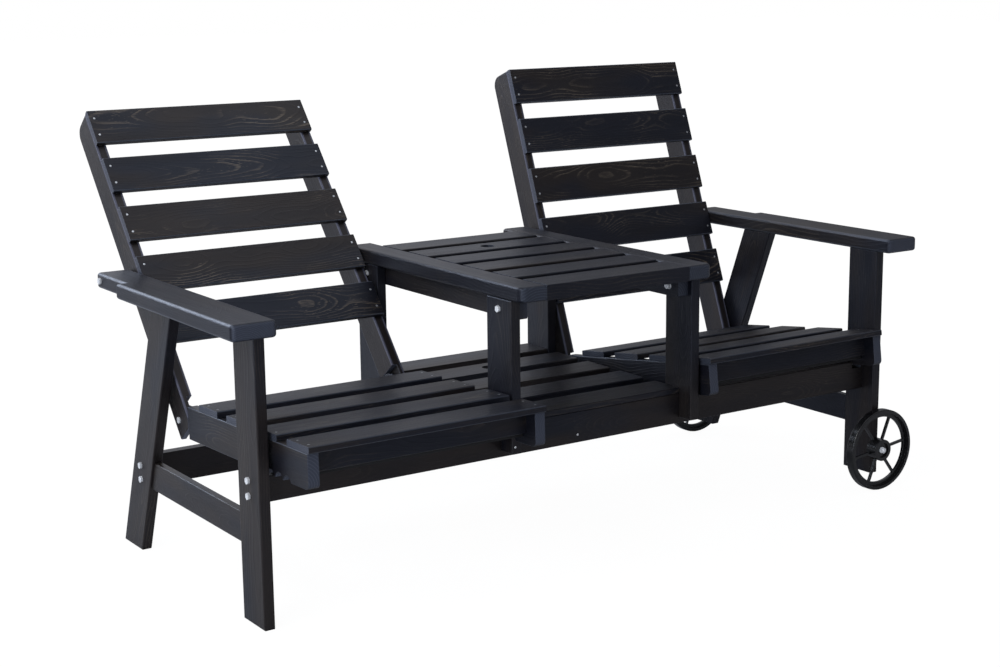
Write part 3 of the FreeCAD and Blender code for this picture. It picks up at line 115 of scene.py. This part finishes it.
def timber_group():
    """Stained timber in a board's own axes: along the grain, across the face and through it."""
    half_board, rubbed_highlight_from, line_highlight_from = 0.045, 0.25, 0.9
    tree = bpy.data.node_groups.new("stained_timber", "ShaderNodeTree")
    for name in ("Along", "Across", "Through"):
        tree.interface.new_socket(name, in_out="INPUT", socket_type="NodeSocketVector")
    for name in ("Start", "Pitch", "Middle", "Seed", "Show", "Warmth", "Ease", "Wear_and_highlight"):
        tree.interface.new_socket(name, in_out="INPUT", socket_type="NodeSocketFloat")
    tree.interface.new_socket("Surface", in_out="OUTPUT", socket_type="NodeSocketShader")
    given = tree.nodes.new("NodeGroupInput").outputs
    coordinates = add(tree, "ShaderNodeTexCoord").outputs
    place = coordinates["Object"]
    u = dot(tree, place, given["Along"])
    v = calc(tree, "SUBTRACT", dot(tree, place, given["Across"]), given["Start"])
    w = calc(tree, "SUBTRACT", dot(tree, place, given["Through"]), given["Middle"])
    row = calc(tree, "FLOOR", calc(tree, "DIVIDE", v, given["Pitch"]))
    seed = calc(tree, "MULTIPLY_ADD", row, 3.17, given["Seed"])
    chance = add(tree, "ShaderNodeTexWhiteNoise", {"W": seed}, noise_dimensions="1D").outputs
    pick = add(tree, "ShaderNodeSeparateColor", {0: chance["Color"]}).outputs

    # Growth rings round a heart that lies below the board and wanders along it
    v = calc(tree, "SUBTRACT", v, calc(tree, "MULTIPLY_ADD", row, given["Pitch"], half_board))
    shifted = calc(tree, "MULTIPLY_ADD", seed, 1.73, u)
    slow = noise(tree, vector(tree, shifted, seed, 0.0), 2.3, 2.0)
    sway = noise(tree, vector(tree, shifted, seed, 5.0), 1.1, 1.0)
    aside = calc(tree, "MULTIPLY_ADD", calc(tree, "SUBTRACT", sway, 0.5), 0.09, v)
    aside = calc(tree, "MULTIPLY_ADD", calc(tree, "SUBTRACT", pick[0], 0.5), 0.05, aside)
    below = calc(tree, "MULTIPLY_ADD", slow, 0.11, w)
    below = calc(tree, "MULTIPLY_ADD", pick[1], 0.03, calc(tree, "SUBTRACT", below, 0.03))
    waves = noise(tree, stretched(tree, (shifted, 7.0), (v, 26.0), seed), 1.0, 2.0)
    knot_at = stretched(tree, (shifted, 3.1), (v, 7.0), seed)
    knot = add(tree, "ShaderNodeTexVoronoi", {"Vector": knot_at, "Scale": 1.0, "Randomness": 0.9})
    knot = knot.outputs["Distance"]
    pull = calc(tree, "POWER", 2.718, calc(tree, "MULTIPLY", calc(tree, "MULTIPLY", knot, knot), -34.0))
    reach = calc(tree, "SQRT", calc(tree, "ADD", calc(tree, "MULTIPLY", aside, aside),
                                    calc(tree, "MULTIPLY", below, below)))
    reach = calc(tree, "MULTIPLY_ADD", waves, 0.007, reach)
    reach = calc(tree, "MULTIPLY_ADD", pull, 0.016, reach)
    ring = calc(tree, "DIVIDE", reach, calc(tree, "MULTIPLY_ADD", pick[2], 0.0022, 0.0036))
    phase = calc(tree, "FRACT", ring)
    late = calc(tree, "MULTIPLY", ramp(tree, phase, 0.60, 0.90), ramp(tree, phase, 0.92, 1.0, 1.0, 0.0))

    # Fibres, and patches where the stain is thinner. Some boards took it bluer, some browner.
    fibre = noise(tree, stretched(tree, (u, 14.0), (v, 900.0), (w, 900.0)), 1.0, 3.0, 0.65)
    streaks = noise(tree, stretched(tree, (shifted, 4.0), (v, 90.0), (w, 90.0)), 1.0, 3.0)
    patches = noise(tree, stretched(tree, (shifted, 4.5), (v, 13.0), seed), 1.0, 2.0)
    patches = ramp(tree, patches, 0.44, 0.68)
    clouds = noise(tree, stretched(tree, (shifted, 2.6), (v, 9.0), calc(tree, "ADD", seed, 9.0)), 1.0, 2.0)
    turn = calc(tree, "MULTIPLY_ADD", row, 0.6, calc(tree, "MULTIPLY_ADD", pick[0], 0.1, 0.55))
    turn = calc(tree, "FRACT", turn)
    warm = calc(tree, "ADD", calc(tree, "MULTIPLY_ADD", calc(tree, "SUBTRACT", turn, 0.45), 0.45, clouds),
                given["Warmth"])
    warm = ramp(tree, warm, 0.38, 0.64)
    core = ramp(tree, knot, 0.05, 0.11, 1.0, 0.0)
    strength = calc(tree, "MULTIPLY", calc(tree, "MULTIPLY", late, patches), given["Show"])
    strength = calc(tree, "MULTIPLY", strength, ramp(tree, fibre, 0.35, 0.65))
    strength = calc(tree, "MULTIPLY", strength, calc(tree, "MULTIPLY_ADD", pick[2], 0.7, 0.35))
    dashes = noise(tree, stretched(tree, (shifted, 75.0), (v, 520.0), (w, 520.0)), 1.0, 1.0)
    dashes = calc(tree, "MULTIPLY", ramp(tree, dashes, 0.66, 0.76),
                  calc(tree, "MULTIPLY", patches, given["Show"]))
    strength = calc(tree, "ADD", strength, calc(tree, "MULTIPLY", dashes, 0.6), clamp=True)
    base = blend_colour(tree, warm, (0.0042, 0.0046, 0.0088, 1), (0.0105, 0.0076, 0.0066, 1))
    base = blend_colour(tree, calc(tree, "MULTIPLY", streaks, 0.5), base, (0.0090, 0.0090, 0.0104, 1))
    base = blend_colour(tree, calc(tree, "MULTIPLY", patches, 0.3), base, (0.0125, 0.0108, 0.0095, 1))
    soaked = noise(tree, stretched(tree, (shifted, 5.0), (v, 22.0), calc(tree, "ADD", seed, 4.0)), 1.0, 3.0)
    soaked = ramp(tree, soaked, 0.42, 0.66, 0.0, 0.65)
    base = blend_colour(tree, soaked, base, (0.0030, 0.0032, 0.0052, 1))
    base = blend_colour(tree, strength, base, (0.096, 0.077, 0.058, 1))
    base = blend_colour(tree, calc(tree, "MULTIPLY", core, 0.6), base, (0.0110, 0.0085, 0.0070, 1))

    # End grain is painted paler and bluer, partly its own tone and partly a painted highlight, with its
    # rings in relief
    square = calc(tree, "ABSOLUTE", dot(tree, coordinates["Normal"], given["Along"]))
    cut_end = ramp(tree, square, 0.45, 0.95)
    end_tone_and_highlight = blend_colour(tree, late, (0.018, 0.022, 0.031, 1), (0.048, 0.056, 0.075, 1))
    base = blend_colour(tree, calc(tree, "MULTIPLY", cut_end, 0.85), base, end_tone_and_highlight)

    # Edges and cut ends are painted paler and bluer: partly wear, partly a painted highlight on the
    # eased edges. Where the setting is strong, as on the stiles, a painted highlight runs as a pale
    # line along both long edges of the front face.
    soft = add(tree, "ShaderNodeBevel", {"Radius": given["Ease"]}, samples=4).outputs[0]
    facing = dot(tree, soft, add(tree, "ShaderNodeNewGeometry").outputs["Normal"])
    edge = ramp(tree, facing, 0.80, 0.985, 1.0, 0.0)
    # Painted highlight, with some wear: eased edges blend towards a pale blue-grey.
    edge_wear_and_highlight = calc(tree, "MULTIPLY", edge, ramp(tree, fibre, 0.3, 0.7))
    edge_wear_and_highlight = calc(tree, "MULTIPLY", edge_wear_and_highlight, given["Wear_and_highlight"], clamp=True)
    base = blend_colour(tree, edge_wear_and_highlight, base, (0.100, 0.115, 0.150, 1))
    # Painted highlight along the rounded long edges.
    corner = calc(tree, "ABSOLUTE", calc(tree, "MULTIPLY", dot(tree, coordinates["Normal"], given["Across"]),
                                         dot(tree, coordinates["Normal"], given["Through"])))
    beyond_rubbed_from = calc(tree, "MAXIMUM", calc(tree, "SUBTRACT", given["Wear_and_highlight"], rubbed_highlight_from), 0.0)
    eased_edge_highlight = calc(tree, "MULTIPLY", ramp(tree, corner, 0.10, 0.40), beyond_rubbed_from, clamp=True)
    base = blend_colour(tree, eased_edge_highlight, base, (0.130, 0.150, 0.190, 1))
    # Painted highlight, with some wear, on the cut ends.
    end_wear_and_highlight = calc(tree, "MULTIPLY", cut_end, calc(tree, "MULTIPLY", given["Wear_and_highlight"], 0.3), clamp=True)
    base = blend_colour(tree, end_wear_and_highlight, base, (0.130, 0.140, 0.190, 1))
    # Painted highlight: a pale line along both long edges of the front face.
    front_edge_highlight = calc(tree, "MULTIPLY", ramp(tree, calc(tree, "ADD", v, half_board), 0.002, 0.0055, 1.0, 0.0),
                ramp(tree, calc(tree, "ABSOLUTE", w), 0.0065, 0.0100))
    beyond_line_from = calc(tree, "MAXIMUM", calc(tree, "SUBTRACT", given["Wear_and_highlight"], line_highlight_from), 0.0)
    front_edge_highlight = calc(tree, "MULTIPLY", front_edge_highlight, beyond_line_from, clamp=True)
    base = blend_colour(tree, front_edge_highlight, base, (0.090, 0.095, 0.135, 1))

    height = calc(tree, "MULTIPLY_ADD", fibre, 0.3, calc(tree, "MULTIPLY", late, 0.6))
    height = calc(tree, "MULTIPLY_ADD", streaks, 0.6, height)
    bump = add(tree, "ShaderNodeBump", {
        "Strength": 0.35, "Distance": 0.0008, "Height": height, "Normal": soft})
    rough = calc(tree, "MULTIPLY_ADD", fibre, 0.16, 0.34)
    rough = calc(tree, "MULTIPLY_ADD", clouds, 0.12, calc(tree, "SUBTRACT", rough, 0.12))
    rough = calc(tree, "MULTIPLY_ADD", streaks, 0.12, rough)
    surface = add(tree, "ShaderNodeBsdfPrincipled", {
        "Base Color": base, "Roughness": rough, "IOR": 1.45, "Specular IOR Level": 0.44,
        "Specular Tint": blend_colour(tree, warm, (0.76, 0.82, 1.0, 1), (1.0, 0.92, 0.92, 1)),
        "Normal": bump.outputs[0]})
    close_tree(tree, surface.outputs[0], "NodeGroupOutput")
    return tree


stained_timber = timber_group()
X, Y, Z = Vector((1, 0, 0)), Vector((0, 1, 0)), Vector((0, 0, 1))


def stain(name, along, through, pitch=10.0, show=1.0, warmth=0.0, ease=0.0014, wear_and_highlight=0.25):
    """Give a CAD node the timber, laid along the board's own grain."""
    across = along.cross(through).normalized()
    points = np.array([corner.co for corner in nodes[name].data.vertices])
    start = float((points @ np.array(across)).min())
    depth = points @ np.array(through)
    material = blank_material("timber_" + name)
    tree = material.node_tree
    group = add(tree, "ShaderNodeGroup", node_tree=stained_timber)
    seed = sum(ord(letter) * (place + 3) for place, letter in enumerate(name)) % 97
    for key, value in (("Along", along), ("Across", across), ("Through", through), ("Start", start),
                       ("Pitch", pitch), ("Middle", float(depth.min() + depth.max()) / 2),
                       ("Seed", seed * 0.377), ("Show", show), ("Warmth", warmth), ("Ease", ease),
                       ("Wear_and_highlight", wear_and_highlight)):
        group.inputs[key].default_value = value
    close_tree(tree, group.outputs[0])
    dress(name, material)


# Legs, posts and rails
# The front legs and the table's posts stand upright. The rear legs lean forward to the arms, and
# the long rails and end stretchers tie them together.

LEAN = math.radians(21.3)
leaning = Vector((0, -math.sin(LEAN), math.cos(LEAN)))
for name in ("leg_front_left", "leg_front_right", "post_front_left", "post_front_right",
             "post_rear_left", "post_rear_right"):
    if "post" in name:
        stain(name, Z, X, show=0.25, warmth=-0.15, wear_and_highlight=0.1)
    else:
        stain(name, Z, X, show=0.5, warmth=0.02 if name == "leg_front_left" else -0.12)
for name in ("leg_rear_left", "leg_rear_right"):
    stain(name, leaning, X, show=0.6, warmth=0.02 if name == "leg_rear_left" else -0.1)
for name in ("rail_front", "rail_rear"):
    stain(name, X, Y, show=0.6, warmth=0.0)
for name in ("stretcher_left", "stretcher_right", "apron_left", "apron_right",
             "shelf_bearer_left", "shelf_bearer_right"):
    stain(name, Y, X, show=0.6, warmth=0.02 if name == "stretcher_left" else -0.15)

# Arms, table and shelf
# Thick boards with rounded corners along the sides, and slats across between them. One slat of
# the table and the one below it on the shelf have a hole for a parasol's pole.

for name in ("arm_left", "arm_right", "table_board_left", "table_board_right", "table_batten_left",
             "table_batten_right"):
    stain(name, Y, Z, show=0.7, warmth=-0.05 if name == "arm_right" else -0.2,
          ease=0.0032, wear_and_highlight=0.5 if "arm" in name else 0.2)
table_pitch, shelf_pitch, single_slat = 0.1186, 0.131, 1.0
for name, pitch in (("table_slats", table_pitch), ("table_slat_hole", single_slat),
                    ("shelf_slats", shelf_pitch), ("shelf_slat_hole", single_slat)):
    stain(name, X, -Z, pitch, show=0.5, warmth=-0.15)

# Backs and seats
# Each back has two stiles and five slats, and each seat two notched side rails, four slats and an
# apron. The left back is lowered and the right one stands upright. A near-black strip under the
# rear of each apron is painted shade for the shadow there, and closes the gap above the front rail.


def plain_material(name, colour, rough, metal=0.0, scratches=0.15, grain=900.0, bump=0.1, rim=None):
    """A plain finish with fine scuffs in its sheen and relief. Its edges are painted paler as a
    painted highlight; a rim colour darkens them instead.
    """
    material = blank_material(name)
    tree = material.node_tree
    place = add(tree, "ShaderNodeTexCoord").outputs["Object"]
    specks = noise(tree, place, grain, 4.0, 0.6)
    clouds = noise(tree, place, 45.0, 3.0)
    soft = add(tree, "ShaderNodeBevel", {"Radius": 0.0016 if rim else 0.0008}, samples=4).outputs[0]
    facing = dot(tree, soft, add(tree, "ShaderNodeNewGeometry").outputs["Normal"])
    edge = ramp(tree, facing, 0.80, 0.985, 1.0, 0.0)
    # Painted highlight on the edges, unless a rim colour darkens them.
    light = rim or tuple(min(1.0, part * 1.5 + 0.01) for part in colour[:3]) + (1,)
    dull = tuple(part * 0.7 for part in colour[:3]) + (1,)
    tone = blend_colour(tree, ramp(tree, clouds, 0.35, 0.7), dull, colour)
    tone = blend_colour(tree, calc(tree, "MULTIPLY", edge, 1.0 if rim else 0.6), tone, light)
    height = calc(tree, "MULTIPLY_ADD", clouds, 0.6, specks)
    relief = add(tree, "ShaderNodeBump", {
        "Strength": bump, "Distance": 0.0003, "Height": height, "Normal": soft})
    surface = add(tree, "ShaderNodeBsdfPrincipled", {
        "Base Color": tone, "Metallic": metal, "Normal": relief.outputs[0],
        "Roughness": calc(tree, "MULTIPLY_ADD", specks, scratches, rough)})
    close_tree(tree, surface.outputs[0])
    return material


def apron_shade_strip(side, along_seat, off_seat, material):
    """A strip under the rear edge of a seat's apron, sunk a little into it: painted shade there."""
    deep, tall, sunk, play, eased = 0.012, 0.0084, 0.0004, 0.002, 0.0012
    corners = np.array([corner.co for corner in nodes["seat_%s_apron" % side].data.vertices])
    rear = float((corners @ np.array(along_seat)).max())
    bottom = float((corners @ np.array(off_seat)).min())
    wide = float(corners[:, 0].max() - corners[:, 0].min())
    middle = (X * float(corners[:, 0].mean()) + along_seat * (rear - deep / 2)
              + off_seat * (bottom + sunk - tall / 2))
    laid = Matrix((X, along_seat, off_seat)).transposed().to_4x4()
    bm = bmesh.new()
    bmesh.ops.create_cube(bm, size=1.0)
    bmesh.ops.transform(bm, verts=bm.verts, matrix=Matrix.Translation(middle) @ laid
                        @ Matrix.Diagonal((wide - play, deep, tall, 1)))
    bmesh.ops.bevel(bm, geom=bm.edges[:], offset=eased, segments=2, affect="EDGES")
    bmesh.ops.recalc_face_normals(bm, faces=bm.faces)
    mesh = bpy.data.meshes.new("seat_%s_lip" % side)
    bm.to_mesh(mesh)
    bm.free()
    mesh.materials.append(material)
    shade_strip = bpy.data.objects.new("seat_%s_lip" % side, mesh)
    bpy.context.scene.collection.objects.link(shade_strip)
    return shade_strip


# Painted shade: a near-black finish for the strips under the aprons.
painted_shade_black = plain_material("painted_shade_black", (0.0022, 0.0022, 0.0028, 1), 0.6)
back_pitch, seat_pitch = 0.1314, 0.1345
for side, recline, tilt in (("left", 39.3, 1.931), ("right", 20.2, 7.675)):
    recline, tilt = math.radians(recline), math.radians(tilt)
    up_back = Vector((0, math.sin(recline), math.cos(recline)))
    off_back = Vector((0, math.cos(recline), -math.sin(recline)))
    along_seat = Vector((0, math.cos(tilt), -math.sin(tilt)))
    off_seat = Vector((0, math.sin(tilt), math.cos(tilt)))
    for letter in "ab":
        stain("back_%s_stile_%s" % (side, letter), up_back, X, show=0.6, warmth=0.08,
              ease=0.0030, wear_and_highlight=1.8)
        stain("seat_%s_rail_%s" % (side, letter), along_seat, X, show=0.6, warmth=-0.15,
              ease=0.0022, wear_and_highlight=0.6)
    stain("back_%s_slats" % side, X, -off_back, back_pitch, show=2.2 if side == "left" else 1.5,
          warmth=0.0 if side == "left" else -0.08, ease=0.0020, wear_and_highlight=0.6)
    stain("seat_%s_slats" % side, X, -off_seat, seat_pitch, show=1.2, warmth=-0.15,
          ease=0.0020, wear_and_highlight=0.4)
    stain("seat_%s_apron" % side, X, along_seat, show=0.6, warmth=-0.2)
    shade_strip = apron_shade_strip(side, along_seat, off_seat, painted_shade_black)
    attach(shade_strip, "seat_%s" % side)

# Wheels
# Moulded black plastic, each with a tyre, six thin spokes and a hub. They turn freely on
# zinc-plated studs in the right legs, which stop short of the floor.

wheel_plastic = plain_material("wheel_plastic", (0.0058, 0.0058, 0.0066, 1), 0.14)
for name in ("wheel_front", "wheel_rear"):
    dress(name, wheel_plastic)

# Fasteners
# Zinc-plated bolts, nuts and washers, and small bright screws in the slats. One more screw is in
# the foot of the left front post, and one in the front rail below the table.

zinc = plain_material("zinc_steel", (0.92, 0.93, 0.95, 1), 0.16, metal=0.35, scratches=0.2, bump=0.2)
screw_zinc = plain_material("screw_zinc", (0.60, 0.61, 0.63, 1), 0.3, metal=0.7,
                            rim=(0.008, 0.008, 0.012, 1))
for name in nodes:
    if any(word in name for word in ("bolts", "nuts", "screws", "studs")):
        dress(name, screw_zinc if "screws" in name else zinc)


def screw_head(name, place, material):
    """A low round head that faces the front, with a dimple for the driver."""
    steps = 24
    profile = ((0.0026, -0.0004), (0.0026, 0.0003), (0.0020, 0.0009), (0.0011, 0.0011), (0.0005, 0.0004))
    bm = bmesh.new()
    rings = []
    for radius, height in profile:
        rings.append([bm.verts.new((radius * math.cos(step * math.tau / steps), -height,
                                    radius * math.sin(step * math.tau / steps))) for step in range(steps)])
    for outer, inner in zip(rings, rings[1:]):
        for step in range(steps):
            bm.faces.new((outer[step], outer[step - 1], inner[step - 1], inner[step]))
    bm.faces.new(rings[-1])
    bm.faces.new(rings[0][::-1])
    bmesh.ops.translate(bm, verts=bm.verts, vec=place)
    bmesh.ops.recalc_face_normals(bm, faces=bm.faces)
    mesh = bpy.data.meshes.new(name)
    bm.to_mesh(mesh)
    bm.free()
    mesh.materials.append(material)
    head = bpy.data.objects.new(name, mesh)
    bpy.context.scene.collection.objects.link(head)
    return head


for name, place in (("post_screw", (-0.2626, -0.4080, 0.2816)),
                    ("rail_screw", (-0.0664, -0.3650, 0.2696))):
    head = screw_head(name, place, zinc)
    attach(head, "frame")

# Floor, light and camera
# A pale floor and four soft lights: one high on the left, one above, one low in front on the left
# and one behind. The world is brighter above, on the left and behind, and white to the camera.

floor_mesh = bpy.data.meshes.new("floor")
half_floor = 30
floor_corners = [(-half_floor, -half_floor, 0), (half_floor, -half_floor, 0),
                 (half_floor, half_floor, 0), (-half_floor, half_floor, 0)]
floor_mesh.from_pydata(floor_corners, [], [(0, 1, 2, 3)])
floor = bpy.data.objects.new("floor", floor_mesh)
bpy.context.scene.collection.objects.link(floor)
paper = blank_material("paper")
tree = paper.node_tree
where = add(tree, "ShaderNodeTexCoord").outputs["Object"]
weave = noise(tree, where, 60.0)
shade = blend_colour(tree, weave, (0.86, 0.86, 0.86, 1), (0.90, 0.90, 0.90, 1))
seen = add(tree, "ShaderNodeLightPath").outputs["Is Camera Ray"]
shade = blend_colour(tree, seen, (0.50, 0.50, 0.51, 1), shade)
matt = add(tree, "ShaderNodeBsdfDiffuse", {"Color": shade})
glow = add(tree, "ShaderNodeEmission", {"Color": (1, 1, 1, 1), "Strength": 1.03})
away = add(tree, "ShaderNodeVectorMath", {0: where}, operation="LENGTH").outputs["Value"]
share = calc(tree, "MULTIPLY", seen, ramp(tree, away, 0.8, 3.0, 0.94, 1.0))
mixed = add(tree, "ShaderNodeMixShader", {0: share, 1: matt.outputs[0], 2: glow.outputs[0]})
close_tree(tree, mixed.outputs[0])
floor_mesh.materials.append(paper)

world = bpy.data.worlds.new("studio")
world.use_nodes = True
bpy.context.scene.world = world
tree = world.node_tree
tree.nodes.clear()
direction = add(tree, "ShaderNodeTexCoord").outputs["Generated"]
upward = ramp(tree, dot(tree, direction, (0, 0, 1)), -0.2, 1.0)
leftward = ramp(tree, dot(tree, direction, (-0.92, -0.25, 0.30)), -0.2, 1.0)
behind = ramp(tree, dot(tree, direction, (-0.20, 0.93, 0.30)), 0.50, 1.0)
level = calc(tree, "MULTIPLY_ADD", upward, 0.30, 0.12)
level = calc(tree, "MULTIPLY_ADD", leftward, 0.30, level)
level = calc(tree, "MULTIPLY_ADD", behind, 0.92, level)
lit = add(tree, "ShaderNodeBackground", {"Color": (0.90, 0.92, 1.0, 1), "Strength": level})
plain = add(tree, "ShaderNodeBackground", {"Color": (1, 1, 1, 1), "Strength": 1.0})
seen = add(tree, "ShaderNodeLightPath").outputs["Is Camera Ray"]
mixed = add(tree, "ShaderNodeMixShader", {0: seen, 1: lit.outputs[0], 2: plain.outputs[0]})
close_tree(tree, mixed.outputs[0], "ShaderNodeOutputWorld")


def soft_light(name, place, target, width, height, power, colour):
    lamp = bpy.data.lights.new(name, "AREA")
    lamp.shape = "RECTANGLE"
    lamp.size, lamp.size_y = width, height
    lamp.energy = power
    lamp.color = colour
    made = bpy.data.objects.new(name, lamp)
    made.location = place
    made.rotation_mode = "QUATERNION"
    made.rotation_quaternion = (Vector(target) - Vector(place)).to_track_quat("-Z", "Y")
    bpy.context.scene.collection.objects.link(made)


soft_light("key", (-4.2, -1.2, 3.4), (0, 0, 0.5), 1.5, 1.3, 78, (0.96, 0.98, 1.0))
soft_light("top", (0.8, -0.4, 3.8), (0, 0, 0.5), 3.2, 1.2, 15, (0.85, 0.92, 1.0))
soft_light("strip", (-3.6, -2.5, 1.1), (0, 0, 0.5), 0.8, 2.0, 50, (0.80, 0.89, 1.0))
soft_light("rim", (-2.2, 3.4, 2.4), (-0.3, 0, 0.5), 2.5, 2.1, 90, (0.74, 0.84, 1.0))

YAW, PITCH, ROLL = math.radians(34.403), math.radians(-11.690), math.radians(-0.491)
ahead = Vector((math.sin(YAW) * math.cos(PITCH), math.cos(YAW) * math.cos(PITCH), math.sin(PITCH)))
right = Vector((math.cos(YAW), -math.sin(YAW), 0))
above = right.cross(ahead)
turned = math.cos(ROLL) * right + math.sin(ROLL) * above
raised = math.cos(ROLL) * above - math.sin(ROLL) * right
picture_wide, focal_pixels, film_wide = 1000, 1760.60, 36
axis_x, axis_drop = 519.820, 0.304
view = bpy.data.cameras.new("camera")
view.sensor_width = film_wide
view.lens = focal_pixels / picture_wide * film_wide
view.shift_x = (picture_wide / 2 - axis_x) / picture_wide
view.shift_y = axis_drop / picture_wide
camera = bpy.data.objects.new("camera", view)
camera_place = (-2.30345, -3.408557, 1.2797)
camera.matrix_world = Matrix.Translation(camera_place) @ Matrix(
    (turned, raised, -ahead)).transposed().to_4x4()
bpy.context.scene.collection.objects.link(camera)
bpy.context.scene.camera = camera
bpy.context.scene.view_settings.view_transform = "Standard"
